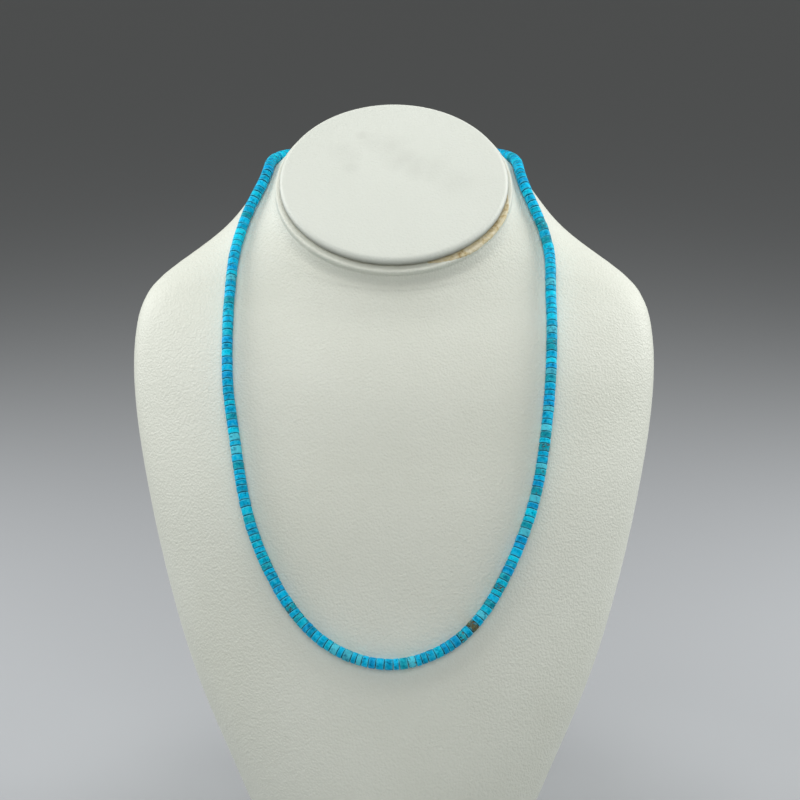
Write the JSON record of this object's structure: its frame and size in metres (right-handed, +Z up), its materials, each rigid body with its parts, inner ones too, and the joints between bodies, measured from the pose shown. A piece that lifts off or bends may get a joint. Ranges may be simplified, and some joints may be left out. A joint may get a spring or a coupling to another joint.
{
  "type": "turquoise bead necklace on a neck bust",
  "caption": "Mid-length single strand of drilled turquoise disc beads on a thread, worn round the neck of a plain white display bust with a slanted cap.",
  "frame": {"origin": "centre of the bust's flat base", "axes": "+Z up, -Y towards the front of the chest, +X to the right as seen from the front"},
  "size_m": [0.2158, 0.1646, 0.2997],
  "materials": {
    "turquoise": "polished turquoise stone",
    "thread": "waxed cord",
    "silver": "satin silver",
    "leatherette": "fine grained white leatherette",
    "glue": "aged glue",
    "cap_leatherette": "smooth white leatherette"
  },
  "bodies": {
    "root": {"beads": "turquoise", "thread": "thread", "clasp": "silver", "bust": "leatherette", "cap_glue": "glue", "neck_cap": "cap_leatherette"}
  },
  "joints": []
}
